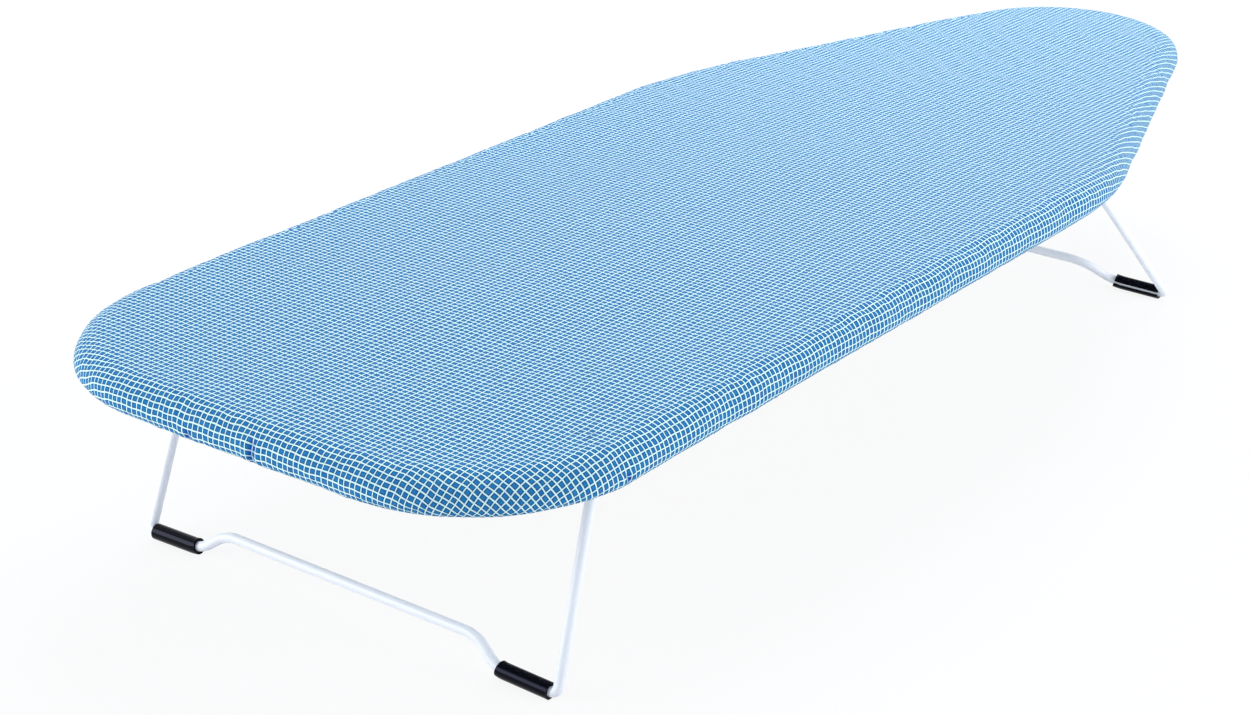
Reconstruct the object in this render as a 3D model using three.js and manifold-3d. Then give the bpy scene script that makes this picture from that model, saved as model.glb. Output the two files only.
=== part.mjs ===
// A tabletop ironing board: a padded steel top under a fitted cloth cover, on two folding wire legs.
// Millimetres. +X runs from the broad tail to the tapered nose, +Y to the board's left, +Z up.
// The origin is on the table, below the middle of the board.
import * as THREE from "three";
import { mergeVertices } from "three/addons/utils/BufferGeometryUtils.js";
import Module from "manifold-3d";

const wasm = await Module();
wasm.setup();

// Outline of the covered board, seen from above
const BOARD_LENGTH = 790;
const BOARD_WIDTH = 304;
const BOARD_HEIGHT = 120;
const TAIL_CORNER_RADIUS = 85;
const TAPER_LENGTH = 281;
const SHOULDER_RADIUS = 212;
const NOSE_RADIUS = 75;

// Layers of the board, from the top down
const COVER_THICKNESS = 0.9;
const PAD_THICKNESS = 4.8;
const TOP_GAUGE = 1;
const RIM_DIAMETER = 9.5;
const ELASTIC_DIAMETER = 3;

// Steam vents in the steel top
const VENT_DIAMETER = 9;
const VENT_PITCH = 48;
const VENT_MARGIN = 26;

// Cross rails under the top
const RAIL_GAUGE = 1.2;
const RAIL_FLANGE_DEPTH = 5;
const RAIL_MARGIN = 1;
const STOP_DEPTH = 4.6;
const STOP_WIDTH = 8;
const TAIL_HINGE_SETBACK = 99;
const NOSE_HINGE_SETBACK = 260;
const MIDDLE_RAIL_SETBACK = 299;

// Saddle straps and their rivets
const SADDLE_GAUGE = 1.2;
const SADDLE_LENGTH = 14;
const SADDLE_FOOT = 9;
const RIVET_DIAMETER = 3;
const RIVET_HEAD_DIAMETER = 6.4;
const RIVET_HEAD_HEIGHT = 1.4;
const RIVET_TAIL_DIAMETER = 5.2;
const RIVET_TAIL_HEIGHT = 0.9;

// Wire legs. The splay is the lean away from upright, in degrees.
const WIRE_DIAMETER = 5;
const HINGE_INSET = 30.4;
const FOOT_FLARE = 5.7;
const PIVOT_TIP = 3;
const HINGE_BEND = 8;
const FOOT_BEND = 3.4;
const TOE_BEND = 18;
const BAR_BEND = 20;
const FOOT_RUN = 35;
const FOOT_RISE = 0.8;
const BAR_SETBACK = 13.7;
const TAIL_SPLAY = 20.3;
const TAIL_BAR_RISE = 11.2;
const NOSE_SPLAY = 44.3;
const NOSE_BAR_RISE = 18.5;

// Split foot sleeves
const SLEEVE_LENGTH = 29;
const SLEEVE_WALL = 1.2;
const SLEEVE_SLIT_ANGLE = 44;
const FLOOR_FLAT = 0.4;

// Clearances
const SEAT_GAP = 0.3;
const HEM_OPENING_ANGLE = 80;
const FLANGE_CLEARANCE = 4;
const STOP_OVERHANG = 2;

// Smoothness of the round stretches
const BEND_STEP = THREE.MathUtils.degToRad(18);
const OUTLINE_STEPS = { nose: 12, shoulder: 3, tail: 8 };
const TUBE_SIDES = 12;
const ELASTIC_SIDES = 6;
const RIVET_SIDES = 8;
const ARC_SEGMENTS = 4;
const ROUND_STEPS = 5;
const CURL_STEPS = 6;

const halfLength = BOARD_LENGTH / 2;
const halfWidth = BOARD_WIDTH / 2;
const wireRadius = WIRE_DIAMETER / 2;
const rimRadius = RIM_DIAMETER / 2;
const elasticRadius = ELASTIC_DIAMETER / 2;
const sleeveBore = wireRadius + SEAT_GAP;
const sleeveRadius = sleeveBore + SLEEVE_WALL;

// Heights of the layers, worked out from the top of the cover
const padTop = BOARD_HEIGHT - COVER_THICKNESS - SEAT_GAP;
const padBottom = padTop - PAD_THICKNESS;
const topSheetTop = padBottom - SEAT_GAP;
const topSheetBottom = topSheetTop - TOP_GAUGE;
const rimHeight = topSheetBottom - SEAT_GAP - rimRadius;
const coverBottom = rimHeight - rimRadius - SEAT_GAP - COVER_THICKNESS;
const railTop = topSheetBottom - SEAT_GAP - RIVET_TAIL_HEIGHT - SEAT_GAP;
const railBottom = railTop - RAIL_GAUGE;
const hingeHeight = railBottom - SEAT_GAP - wireRadius;
const stopBottom = hingeHeight - STOP_DEPTH;

// Rounds of the edge, both centred on the height of the rim tube: a large one over the pad and a small one
// under the rim tube, which lies against the inside of the cover. Insets are from the board's edge.
const edgeRound = BOARD_HEIGHT - rimHeight;
const lowerRound = rimRadius + SEAT_GAP + COVER_THICKNESS;
const rimInset = lowerRound;
const padRound = edgeRound - COVER_THICKNESS - SEAT_GAP;
const topSheetInset = edgeRound - Math.sqrt(padRound ** 2 - (topSheetTop - rimHeight) ** 2);

// The hem is a curl of cloth round the elastic, tucked up against the rim tube.
const curlInner = elasticRadius + SEAT_GAP;
const curlOuter = curlInner + COVER_THICKNESS;
const curlHeight = coverBottom + curlOuter;
const curlReach = rimRadius + SEAT_GAP + curlOuter;
const curlInset = rimInset + Math.sqrt(curlReach ** 2 - (rimHeight - curlHeight) ** 2);

// Places of the hinges along the board and across it
const tailHinge = -halfLength + TAIL_HINGE_SETBACK;
const noseHinge = halfLength - NOSE_HINGE_SETBACK;
const middleRail = -halfLength + MIDDLE_RAIL_SETBACK;
const hingeHalfSpan = halfWidth - HINGE_INSET;
const footHalfSpan = hingeHalfSpan + FOOT_FLARE;
const footHeight = sleeveRadius - FLOOR_FLAT;
const saddleOuter = hingeHalfSpan - HINGE_BEND - SEAT_GAP;
const saddleInner = saddleOuter - SADDLE_LENGTH;
const saddleMiddle = (saddleOuter + saddleInner) / 2;
const saddleBore = wireRadius + SEAT_GAP;
const saddleReach = saddleBore + SADDLE_GAUGE + SADDLE_FOOT;
const rivetReach = saddleReach - SADDLE_FOOT / 2;
const railHalfWidth = saddleReach + RAIL_MARGIN;

function finish(color, roughness, metalness) {
  return new THREE.MeshStandardMaterial({ color, roughness, metalness });
}

const board = new THREE.Group();

function addPiece(name, geometry, material, parent = board) {
  const piece = new THREE.Mesh(geometry, material);
  piece.name = name;
  parent.add(piece);
}

// Joins and cuts between closed meshes
function toSolid(geometry) {
  const bare = new THREE.BufferGeometry();
  bare.setAttribute("position", geometry.getAttribute("position"));
  bare.setIndex(geometry.index);
  const merged = mergeVertices(bare);
  const vertProperties = merged.getAttribute("position").array;
  const triVerts = new Uint32Array(merged.index.array);
  return new wasm.Manifold(new wasm.Mesh({ numProp: 3, vertProperties, triVerts }));
}

function toGeometry(solid) {
  const { vertProperties, triVerts } = solid.getMesh();
  const geometry = new THREE.BufferGeometry();
  geometry.setAttribute("position", new THREE.BufferAttribute(vertProperties, 3));
  geometry.setIndex(new THREE.BufferAttribute(triVerts, 1));
  return geometry;
}

// A box between two opposite corners, given in either order
function boxBetween(corner, opposite) {
  const size = corner.map((value, axis) => Math.abs(value - opposite[axis]));
  const middle = corner.map((value, axis) => (value + opposite[axis]) / 2);
  return new THREE.BoxGeometry(...size).translate(...middle);
}

// The outline as a turn of stations, each on one of its arcs with the direction that faces outwards
function arcStations(centre, radius, from, to, steps) {
  return Array.from({ length: steps + 1 }, (_, step) => {
    const angle = from + ((to - from) * step) / steps;
    return { centre, radius, facing: new THREE.Vector2(Math.cos(angle), Math.sin(angle)) };
  });
}

function outlineStations() {
  const quarter = Math.PI / 2;
  const shoulderX = halfLength - TAPER_LENGTH;
  const noseX = halfLength - NOSE_RADIUS;
  const run = noseX - shoulderX;
  const taper = Math.acos(NOSE_RADIUS / Math.hypot(halfWidth, run)) - Math.atan2(run, halfWidth);
  const shoulderTangent = SHOULDER_RADIUS * Math.tan(taper / 2);
  const nose = new THREE.Vector2(noseX, 0);
  const leftShoulder = new THREE.Vector2(shoulderX - shoulderTangent, halfWidth - SHOULDER_RADIUS);
  const leftTail = new THREE.Vector2(-halfLength + TAIL_CORNER_RADIUS, halfWidth - TAIL_CORNER_RADIUS);
  const rightShoulder = new THREE.Vector2(leftShoulder.x, -leftShoulder.y);
  const rightTail = new THREE.Vector2(leftTail.x, -leftTail.y);
  const bends = [
    [nose, NOSE_RADIUS, taper - quarter, quarter - taper, OUTLINE_STEPS.nose],
    [leftShoulder, SHOULDER_RADIUS, quarter - taper, quarter, OUTLINE_STEPS.shoulder],
    [leftTail, TAIL_CORNER_RADIUS, quarter, 2 * quarter, OUTLINE_STEPS.tail],
    [rightTail, TAIL_CORNER_RADIUS, 2 * quarter, 3 * quarter, OUTLINE_STEPS.tail],
    [rightShoulder, SHOULDER_RADIUS, 3 * quarter, 3 * quarter + taper, OUTLINE_STEPS.shoulder],
  ];
  return bends.flatMap((bend) => arcStations(...bend));
}

const outline = outlineStations();

function outlineAt(inset) {
  return outline.map(({ centre, radius, facing }) => {
    return facing.clone().multiplyScalar(radius - inset).add(centre);
  });
}

// A solid that runs round the outline. The profile lists inset and height, going down the outer side.
// An open profile starts and ends on a flat cap, and a closed one makes a ring.
function edgeSolid(profile, closed = false) {
  const count = outline.length;
  const rings = profile.map(([inset, z]) => outlineAt(inset).map(({ x, y }) => [x, y, z]));
  const faces = [];
  const strips = closed ? rings.length : rings.length - 1;
  for (let i = 0; i < strips; i++) {
    const upper = i * count;
    const lower = ((i + 1) % rings.length) * count;
    for (let j = 0; j < count; j++) {
      const k = (j + 1) % count;
      faces.push(upper + j, lower + j, lower + k, upper + j, lower + k, upper + k);
    }
  }
  if (!closed) {
    const last = (rings.length - 1) * count;
    const topCap = THREE.ShapeUtils.triangulateShape(outlineAt(profile[0][0]), []);
    const bottomCap = THREE.ShapeUtils.triangulateShape(outlineAt(profile.at(-1)[0]), []);
    topCap.forEach(([a, b, c]) => faces.push(a, b, c));
    bottomCap.forEach(([a, b, c]) => faces.push(last + c, last + b, last + a));
  }
  const geometry = new THREE.BufferGeometry();
  geometry.setAttribute("position", new THREE.Float32BufferAttribute(rings.flat(2), 3));
  geometry.setIndex(faces);
  return geometry;
}

// Points of an arc in a profile. Angle 0 faces out of the board and a quarter turn faces up.
function profileArc(inset, height, radius, from, to, steps) {
  return Array.from({ length: steps + 1 }, (_, step) => {
    const angle = THREE.MathUtils.degToRad(from + ((to - from) * step) / steps);
    return [inset - radius * Math.cos(angle), height + radius * Math.sin(angle)];
  });
}

// A round bar that runs all the way round the outline
function ringSolid(inset, height, radius, sides) {
  const profile = profileArc(inset, height, radius, 0, -360, sides).slice(0, -1);
  return edgeSolid(profile, true);
}

// Cover: over the top, round the edge, under the rim and into the curl of the hem, then back inside
function coverGeometry() {
  const curlEnd = HEM_OPENING_ANGLE - 360 - 90;
  return edgeSolid([
    ...profileArc(edgeRound, rimHeight, edgeRound, 90, 0, ROUND_STEPS),
    ...profileArc(rimInset, rimHeight, lowerRound, 0, -90, ROUND_STEPS).slice(1),
    ...profileArc(curlInset, curlHeight, curlOuter, -90, curlEnd, CURL_STEPS),
    ...profileArc(curlInset, curlHeight, curlInner, curlEnd, -90, CURL_STEPS),
    ...profileArc(rimInset, rimHeight, lowerRound - COVER_THICKNESS, -90, 0, ROUND_STEPS),
    ...profileArc(edgeRound, rimHeight, edgeRound - COVER_THICKNESS, 0, 90, ROUND_STEPS).slice(1),
  ]);
}

// Pad: a flat underlay whose crowned edge follows the round of the cover
function padGeometry() {
  const lowest = THREE.MathUtils.radToDeg(Math.asin((padBottom - rimHeight) / padRound));
  return edgeSolid(profileArc(edgeRound, rimHeight, padRound, 90, lowest, ROUND_STEPS));
}

// Steel top: a flat sheet with staggered rows of round vents
function isInside(point, ring) {
  return ring.every((from, i) => {
    const to = ring[(i + 1) % ring.length];
    return to.clone().sub(from).cross(point.clone().sub(from)) > 0;
  });
}

function ventCentres() {
  const limit = outlineAt(topSheetInset + VENT_MARGIN);
  const rowPitch = (VENT_PITCH * Math.sqrt(3)) / 2;
  const rows = Math.floor(halfWidth / rowPitch);
  const columns = Math.ceil(halfLength / VENT_PITCH);
  const centres = [];
  for (let row = -rows; row <= rows; row++) {
    const stagger = row % 2 === 0 ? 0 : VENT_PITCH / 2;
    for (let column = -columns; column <= columns; column++) {
      const centre = new THREE.Vector2(column * VENT_PITCH + stagger, row * rowPitch);
      if (isInside(centre, limit)) {
        centres.push(centre);
      }
    }
  }
  return centres;
}

function topSheetGeometry() {
  const sheet = new THREE.Shape(outlineAt(topSheetInset));
  const radius = VENT_DIAMETER / 2;
  sheet.holes = ventCentres().map(({ x, y }) => new THREE.Path().absarc(x, y, radius, 0, 2 * Math.PI));
  const options = { depth: TOP_GAUGE, curveSegments: ARC_SEGMENTS, bevelEnabled: false };
  return new THREE.ExtrudeGeometry(sheet, options).translate(0, 0, topSheetBottom);
}

// Distance from the hinge line to the face of the stop that the open leg leans on
function stopReach(splay) {
  return (wireRadius + SEAT_GAP + STOP_DEPTH * Math.sin(splay)) / Math.cos(splay);
}

// Cuts the holes for a saddle's two rivets
function drillForRivets(solid, x, side) {
  const radius = RIVET_DIAMETER / 2 + SEAT_GAP;
  const depth = topSheetBottom - hingeHeight;
  for (const end of [-1, 1]) {
    const drill = new THREE.CylinderGeometry(radius, radius, depth, RIVET_SIDES).rotateX(Math.PI / 2);
    drill.translate(x + end * rivetReach, side * saddleMiddle, hingeHeight + depth / 2);
    solid = solid.subtract(toSolid(drill));
  }
  return solid;
}

// Cross rail: a strip with stiffening flanges, cut to the inside of the rim tube.
// A hinge rail also has a stop for each upright, bent down out of the strip, and the saddles' rivet holes.
function railGeometry(x, leg) {
  const endReach = rimRadius + SEAT_GAP;
  const endInset = rimInset + Math.sqrt(endReach ** 2 - Math.max(0, railBottom - rimHeight) ** 2);
  const bay = edgeSolid([[endInset, railTop], [endInset, stopBottom]]);
  const corner = [x - railHalfWidth, -halfWidth, railBottom];
  const strip = boxBetween(corner, [x + railHalfWidth, halfWidth, railTop]);
  const flangeHalf = saddleInner - FLANGE_CLEARANCE;
  const flangeBottom = railBottom - RAIL_FLANGE_DEPTH;
  let rail = toSolid(strip);
  for (const side of [-1, 1]) {
    const outer = x + side * railHalfWidth;
    const inner = outer - side * RAIL_GAUGE;
    const flange = boxBetween([outer, -flangeHalf, flangeBottom], [inner, flangeHalf, railTop]);
    rail = rail.add(toSolid(flange));
  }
  if (leg) {
    rail = withStops(rail, x, leg);
    rail = drillForRivets(drillForRivets(rail, x, 1), x, -1);
  }
  return toGeometry(rail.intersect(toSolid(bay)));
}

function withStops(rail, x, leg) {
  const face = x + leg.outward * stopReach(leg.splay);
  const back = face + leg.outward * RAIL_GAUGE;
  const edge = x + leg.outward * (railHalfWidth + RAIL_MARGIN);
  for (const side of [-1, 1]) {
    const outer = side * (hingeHalfSpan + STOP_OVERHANG);
    const inner = outer - side * STOP_WIDTH;
    const notch = boxBetween([back, inner, railBottom - SEAT_GAP], [edge, outer, railTop + SEAT_GAP]);
    const stop = boxBetween([face, inner, stopBottom], [back, outer, railTop]);
    rail = rail.subtract(toSolid(notch)).add(toSolid(stop));
  }
  return rail;
}

// Saddle strap: a strip bent round the pivot end of the wire, with a foot on each side
function saddleGeometry(x, side) {
  const footTop = railBottom - SEAT_GAP;
  const footBottom = footTop - SADDLE_GAUGE;
  const outerBore = saddleBore + SADDLE_GAUGE;
  const strap = new THREE.Shape();
  strap.moveTo(-saddleReach, footTop);
  strap.lineTo(-saddleReach, footBottom);
  strap.lineTo(-outerBore, footBottom);
  strap.lineTo(-outerBore, hingeHeight);
  strap.absarc(0, hingeHeight, outerBore, Math.PI, 2 * Math.PI);
  strap.lineTo(outerBore, footBottom);
  strap.lineTo(saddleReach, footBottom);
  strap.lineTo(saddleReach, footTop);
  strap.lineTo(saddleBore, footTop);
  strap.lineTo(saddleBore, hingeHeight);
  strap.absarc(0, hingeHeight, saddleBore, 2 * Math.PI, Math.PI, true);
  strap.lineTo(-saddleBore, footTop);
  const options = { depth: SADDLE_LENGTH, curveSegments: ARC_SEGMENTS, bevelEnabled: false };
  const bent = new THREE.ExtrudeGeometry(strap, options).rotateX(Math.PI / 2);
  bent.translate(x, side * saddleMiddle + SADDLE_LENGTH / 2, 0);
  return toGeometry(drillForRivets(toSolid(bent), x, side));
}

// Rivet: a low domed head under the saddle's foot and a flattened tail above the rail
function rivetGeometry(x, y) {
  const headTop = railBottom - SEAT_GAP - SADDLE_GAUGE - SEAT_GAP;
  const tailBottom = railTop + SEAT_GAP;
  const headRadius = RIVET_HEAD_DIAMETER / 2;
  const profile = [
    [0, headTop - RIVET_HEAD_HEIGHT],
    [headRadius * Math.SQRT1_2, headTop - RIVET_HEAD_HEIGHT * Math.SQRT1_2],
    [headRadius, headTop],
    [RIVET_DIAMETER / 2, headTop],
    [RIVET_DIAMETER / 2, tailBottom],
    [RIVET_TAIL_DIAMETER / 2, tailBottom],
    [RIVET_TAIL_DIAMETER / 2, tailBottom + RIVET_TAIL_HEIGHT],
    [0, tailBottom + RIVET_TAIL_HEIGHT],
  ];
  const points = profile.map((point) => new THREE.Vector2(...point));
  return new THREE.LatheGeometry(points, RIVET_SIDES).rotateX(Math.PI / 2).translate(x, y, 0);
}

// Centre line of a bent wire in the plane across the board: straight runs with a round bend at each corner.
// It is sampled only where it bends, and a section keeps one side square to the plane.
class BentLine extends THREE.Curve {
  constructor(stations) {
    super();
    this.stations = stations;
  }

  getPointAt(share) {
    const { point } = this.stations[Math.round(share * (this.stations.length - 1))];
    return new THREE.Vector3(0, point.x, point.y);
  }

  computeFrenetFrames() {
    const tangents = this.stations.map(({ along }) => new THREE.Vector3(0, along.x, along.y));
    const normals = tangents.map(() => new THREE.Vector3(1, 0, 0));
    const binormals = tangents.map((tangent, i) => tangent.clone().cross(normals[i]));
    return { tangents, normals, binormals };
  }
}

function bendStations(before, corner, after, radius) {
  const into = corner.clone().sub(before).normalize();
  const out = after.clone().sub(corner).normalize();
  const turn = Math.atan2(into.cross(out), into.dot(out));
  const tangent = radius * Math.tan(Math.abs(turn) / 2);
  const start = corner.clone().addScaledVector(into, -tangent);
  const centre = new THREE.Vector2(-into.y, into.x).multiplyScalar(Math.sign(turn) * radius).add(start);
  const steps = Math.ceil(Math.abs(turn) / BEND_STEP);
  return Array.from({ length: steps + 1 }, (_, step) => {
    const angle = (turn * step) / steps;
    const origin = new THREE.Vector2(0, 0);
    return {
      point: start.clone().rotateAround(centre, angle),
      along: into.clone().rotateAround(origin, angle),
    };
  });
}

// Corners of a leg's wire as across and down from the hinge line, with the radius of each bend
function legStations(leg) {
  const length = (hingeHeight - footHeight) / Math.cos(leg.splay);
  const tip = saddleInner - PIVOT_TIP;
  const toe = footHalfSpan - FOOT_RUN;
  const half = [
    { at: [hingeHalfSpan, 0], bend: HINGE_BEND },
    { at: [footHalfSpan, -length], bend: FOOT_BEND },
    { at: [toe, FOOT_RISE - length], bend: TOE_BEND },
    { at: [toe - BAR_SETBACK, leg.barRise - length], bend: BAR_BEND },
  ];
  const other = half.map(({ at: [across, down], bend }) => ({ at: [-across, down], bend })).reverse();
  const ends = [new THREE.Vector2(tip, 0), new THREE.Vector2(-tip, 0)];
  const corners = [...half, ...other];
  const points = [ends[0], ...corners.map(({ at }) => new THREE.Vector2(...at)), ends[1]];
  const bends = corners.map(({ bend }, i) => bendStations(points[i], points[i + 1], points[i + 2], bend));
  const first = { point: ends[0], along: new THREE.Vector2(1, 0) };
  const last = { point: ends[1], along: new THREE.Vector2(1, 0) };
  return { stations: [first, ...bends.flat(), last], footBendEnd: bends[1].at(-1) };
}

function alongLine(shape, stations, curveSegments) {
  const extrudePath = new BentLine(stations);
  return new THREE.ExtrudeGeometry(shape, { steps: stations.length - 1, extrudePath, curveSegments });
}

function wireGeometry(stations) {
  const section = new THREE.Shape().absarc(0, 0, wireRadius, 0, 2 * Math.PI);
  return alongLine(section, stations, TUBE_SIDES / 2);
}

// The stretch of the left foot run that a sleeve covers, from where the foot bend ends
function sleeveStations({ stations, footBendEnd }) {
  const run = stations.slice(stations.indexOf(footBendEnd));
  const inner = run[0].point.x - SLEEVE_LENGTH;
  const covered = run.filter(({ point }) => point.x > inner);
  const before = covered.at(-1);
  const after = run[covered.length];
  const share = (before.point.x - inner) / (before.point.x - after.point.x);
  const end = {
    point: before.point.clone().lerp(after.point, share),
    along: before.along.clone().lerp(after.along, share).normalize(),
  };
  return [...covered, end];
}

function mirrored(stations) {
  return stations
    .map(({ point, along }) => ({
      point: new THREE.Vector2(-point.x, point.y),
      along: new THREE.Vector2(along.x, -along.y),
    }))
    .reverse();
}

// Sleeve: a tube with a level slit that faces the middle of the board, worn flat where it stands
function sleeveGeometry(stations, leg, frame) {
  const half = THREE.MathUtils.degToRad(SLEEVE_SLIT_ANGLE / 2);
  const middle = leg.outward > 0 ? Math.PI - leg.splay : leg.splay;
  const section = new THREE.Shape();
  section.absarc(0, 0, sleeveRadius, middle + half, middle - half + 2 * Math.PI);
  section.absarc(0, 0, sleeveBore, middle - half + 2 * Math.PI, middle + half, true);
  const sleeve = toSolid(alongLine(section, stations, TUBE_SIDES / 2).applyMatrix4(frame));
  const table = boxBetween([-halfLength, -halfWidth, -sleeveRadius], [halfLength, halfWidth, 0]);
  return toGeometry(sleeve.subtract(toSolid(table)));
}

const coverCloth = finish(0x3f6fc4, 0.95, 0);
const elasticCord = finish(0xe8e6e0, 0.9, 0);
const padFelt = finish(0xd9d6cc, 1, 0);
const topSteel = finish(0xb9bcc0, 0.45, 0.9);
const railSteel = finish(0xe6e8ec, 0.4, 0.1);
const zincSteel = finish(0xb4b8bd, 0.35, 1);
const coatedWire = finish(0xeef0f4, 0.35, 0.05);
const footPlastic = finish(0x111214, 0.25, 0);

addPiece("cover", coverGeometry(), coverCloth);
addPiece("hem_elastic", ringSolid(curlInset, curlHeight, elasticRadius, ELASTIC_SIDES), elasticCord);
addPiece("pad", padGeometry(), padFelt);
addPiece("vented_top", topSheetGeometry(), topSteel);
addPiece("rim_tube", ringSolid(rimInset, rimHeight, rimRadius, TUBE_SIDES), railSteel);
addPiece("middle_rail", railGeometry(middleRail), railSteel);

const legs = [
  {
    name: "tail",
    hinge: tailHinge,
    outward: -1,
    splay: THREE.MathUtils.degToRad(TAIL_SPLAY),
    barRise: TAIL_BAR_RISE,
  },
  {
    name: "nose",
    hinge: noseHinge,
    outward: 1,
    splay: THREE.MathUtils.degToRad(NOSE_SPLAY),
    barRise: NOSE_BAR_RISE,
  },
];
const sides = [
  { name: "left", sign: 1 },
  { name: "right", sign: -1 },
];

for (const leg of legs) {
  addPiece(`${leg.name}_rail`, railGeometry(leg.hinge, leg), railSteel);
  const swing = new THREE.Group();
  swing.position.set(leg.hinge, 0, hingeHeight);
  swing.rotation.y = -leg.outward * leg.splay;
  swing.updateMatrix();
  board.add(swing);
  const line = legStations(leg);
  addPiece(`${leg.name}_leg_wire`, wireGeometry(line.stations), coatedWire, swing);
  const leftSleeve = sleeveStations(line);
  for (const side of sides) {
    const sleeve = side.sign > 0 ? leftSleeve : mirrored(leftSleeve);
    addPiece(`${leg.name}_foot_${side.name}`, sleeveGeometry(sleeve, leg, swing.matrix), footPlastic);
    addPiece(`${leg.name}_saddle_${side.name}`, saddleGeometry(leg.hinge, side.sign), zincSteel);
    for (const [place, end] of [["inner", -leg.outward], ["outer", leg.outward]]) {
      const rivet = rivetGeometry(leg.hinge + end * rivetReach, side.sign * saddleMiddle);
      addPiece(`${leg.name}_rivet_${side.name}_${place}`, rivet, zincSteel);
    }
  }
}

export default board;
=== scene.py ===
# %% [markdown]
# # A tabletop ironing board
# A low ironing board stands on two folding wire legs. A padded steel top lies under a fitted cotton cover with
# a fine check, which an elastic hem grips round the rim. The solids of the board come from its CAD model, which
# is loaded as a fixed frame: each piece made here sits where its solid is, in metres, and moves with it.
# The box of the CAD model is printed, and the finished board's box is printed at the end.

# %% Load the frame
import math

import bmesh
import bpy
import numpy as np
from mathutils import Matrix, Vector
from mathutils.geometry import delaunay_2d_cdt


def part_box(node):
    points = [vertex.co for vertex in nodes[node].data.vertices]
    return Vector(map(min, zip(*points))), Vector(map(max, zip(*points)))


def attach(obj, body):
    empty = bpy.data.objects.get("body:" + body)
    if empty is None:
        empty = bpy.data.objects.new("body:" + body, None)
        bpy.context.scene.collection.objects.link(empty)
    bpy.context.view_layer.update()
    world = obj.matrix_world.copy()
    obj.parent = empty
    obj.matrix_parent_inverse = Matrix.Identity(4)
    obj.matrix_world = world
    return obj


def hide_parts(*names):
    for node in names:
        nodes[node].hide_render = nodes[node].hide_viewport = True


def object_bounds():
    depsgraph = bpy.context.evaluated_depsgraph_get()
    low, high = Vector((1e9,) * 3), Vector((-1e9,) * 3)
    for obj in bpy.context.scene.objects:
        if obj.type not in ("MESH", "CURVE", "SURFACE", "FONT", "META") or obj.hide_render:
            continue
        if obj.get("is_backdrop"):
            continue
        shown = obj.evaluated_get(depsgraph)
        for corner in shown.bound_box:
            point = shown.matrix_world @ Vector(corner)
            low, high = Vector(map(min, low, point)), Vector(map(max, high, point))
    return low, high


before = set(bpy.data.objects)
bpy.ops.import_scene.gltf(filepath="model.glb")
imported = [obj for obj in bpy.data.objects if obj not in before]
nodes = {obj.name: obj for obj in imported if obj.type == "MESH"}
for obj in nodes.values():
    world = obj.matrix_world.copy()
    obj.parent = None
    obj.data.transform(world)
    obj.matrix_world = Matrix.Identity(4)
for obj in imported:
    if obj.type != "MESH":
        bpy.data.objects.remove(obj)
cad_low, cad_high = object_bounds()
MM = 0.001
print("CAD box in mm:", [round(v / MM, 1) for v in cad_high - cad_low])

# %% [markdown]
# ## The camera
# The view was worked out from the photograph: the board's outline and the bends of the legs were matched to their
# known places. A long lens stands behind the broad tail, a little above it and to its right. The picture was
# cropped off its lens axis, so the camera has a small shift.

# %% Camera
IMAGE_WIDTH, FOCAL_LENGTH, SHIFT_ACROSS, SHIFT_UP = 1249, 2573.98, -19.0, -14.7  # in pixels
SENSOR_WIDTH = 36  # in millimetres, as the place below
CAMERA_PLACE = (-1073.1, -741.2, 583.7)
AZIMUTH, ELEVATION, ROLL = (math.radians(v) for v in (-52.515, 23.381, -0.183))
camera_data = bpy.data.cameras.new("photo_camera")
camera = bpy.data.objects.new("photo_camera", camera_data)
bpy.context.scene.collection.objects.link(camera)
level = Vector((math.cos(AZIMUTH), math.sin(AZIMUTH), 0))
back = Vector((math.sin(AZIMUTH) * math.cos(ELEVATION), -math.cos(AZIMUTH) * math.cos(ELEVATION),
               math.sin(ELEVATION)))
right = level * math.cos(ROLL) + back.cross(level) * math.sin(ROLL)
camera.matrix_world = Matrix((right, back.cross(right), back)).transposed().to_4x4()
camera.location = Vector(CAMERA_PLACE) * MM
camera_data.sensor_width = SENSOR_WIDTH
camera_data.lens = FOCAL_LENGTH / IMAGE_WIDTH * SENSOR_WIDTH
camera_data.shift_x = SHIFT_ACROSS / IMAGE_WIDTH
camera_data.shift_y = SHIFT_UP / IMAGE_WIDTH
bpy.context.scene.camera = camera
bpy.context.scene.view_settings.view_transform = "Standard"
print("Lens:", round(camera_data.lens, 1), "mm")

# %% [markdown]
# ## Adding nodes
# Every finish below is a small tree of shader nodes. One function adds a node: it takes the node's own settings,
# and for each input a value or the node to link from. Colours are written as the sRGB hex values that a paint
# program shows, and one function turns them into the linear values that light adds up in.

# %% Helpers for finishes
def linear(colour):
    """An sRGB hex colour as linear red, green, blue and alpha."""
    shares = [int(colour[i:i + 2], 16) / 255 for i in (1, 3, 5)]
    return [*(c / 12.92 if c <= 0.04045 else ((c + 0.055) / 1.055) ** 2.4 for c in shares), 1.0]


def set_inputs(node, inputs):
    """Sets each input to a value, or links it from an output. A node stands for its first output."""
    for name, value in inputs.items():
        source = value.outputs[0] if isinstance(value, bpy.types.Node) else value
        if isinstance(source, bpy.types.NodeSocket):
            node.id_data.links.new(source, node.inputs[name])
        else:
            node.inputs[name].default_value = source


def add_node(tree, kind, inputs=None, **settings):
    """Adds a node with its settings and inputs."""
    node = tree.nodes.new("ShaderNode" + kind)
    for name, value in settings.items():
        setattr(node, name, value)
    set_inputs(node, inputs or {})
    return node


def start_finish(name):
    """A new material, its node tree and its shader."""
    finish = bpy.data.materials.new(name)
    finish.use_nodes = True
    return finish, finish.node_tree, finish.node_tree.nodes["Principled BSDF"]


print("White in linear light:", linear("#ffffff"))

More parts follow.
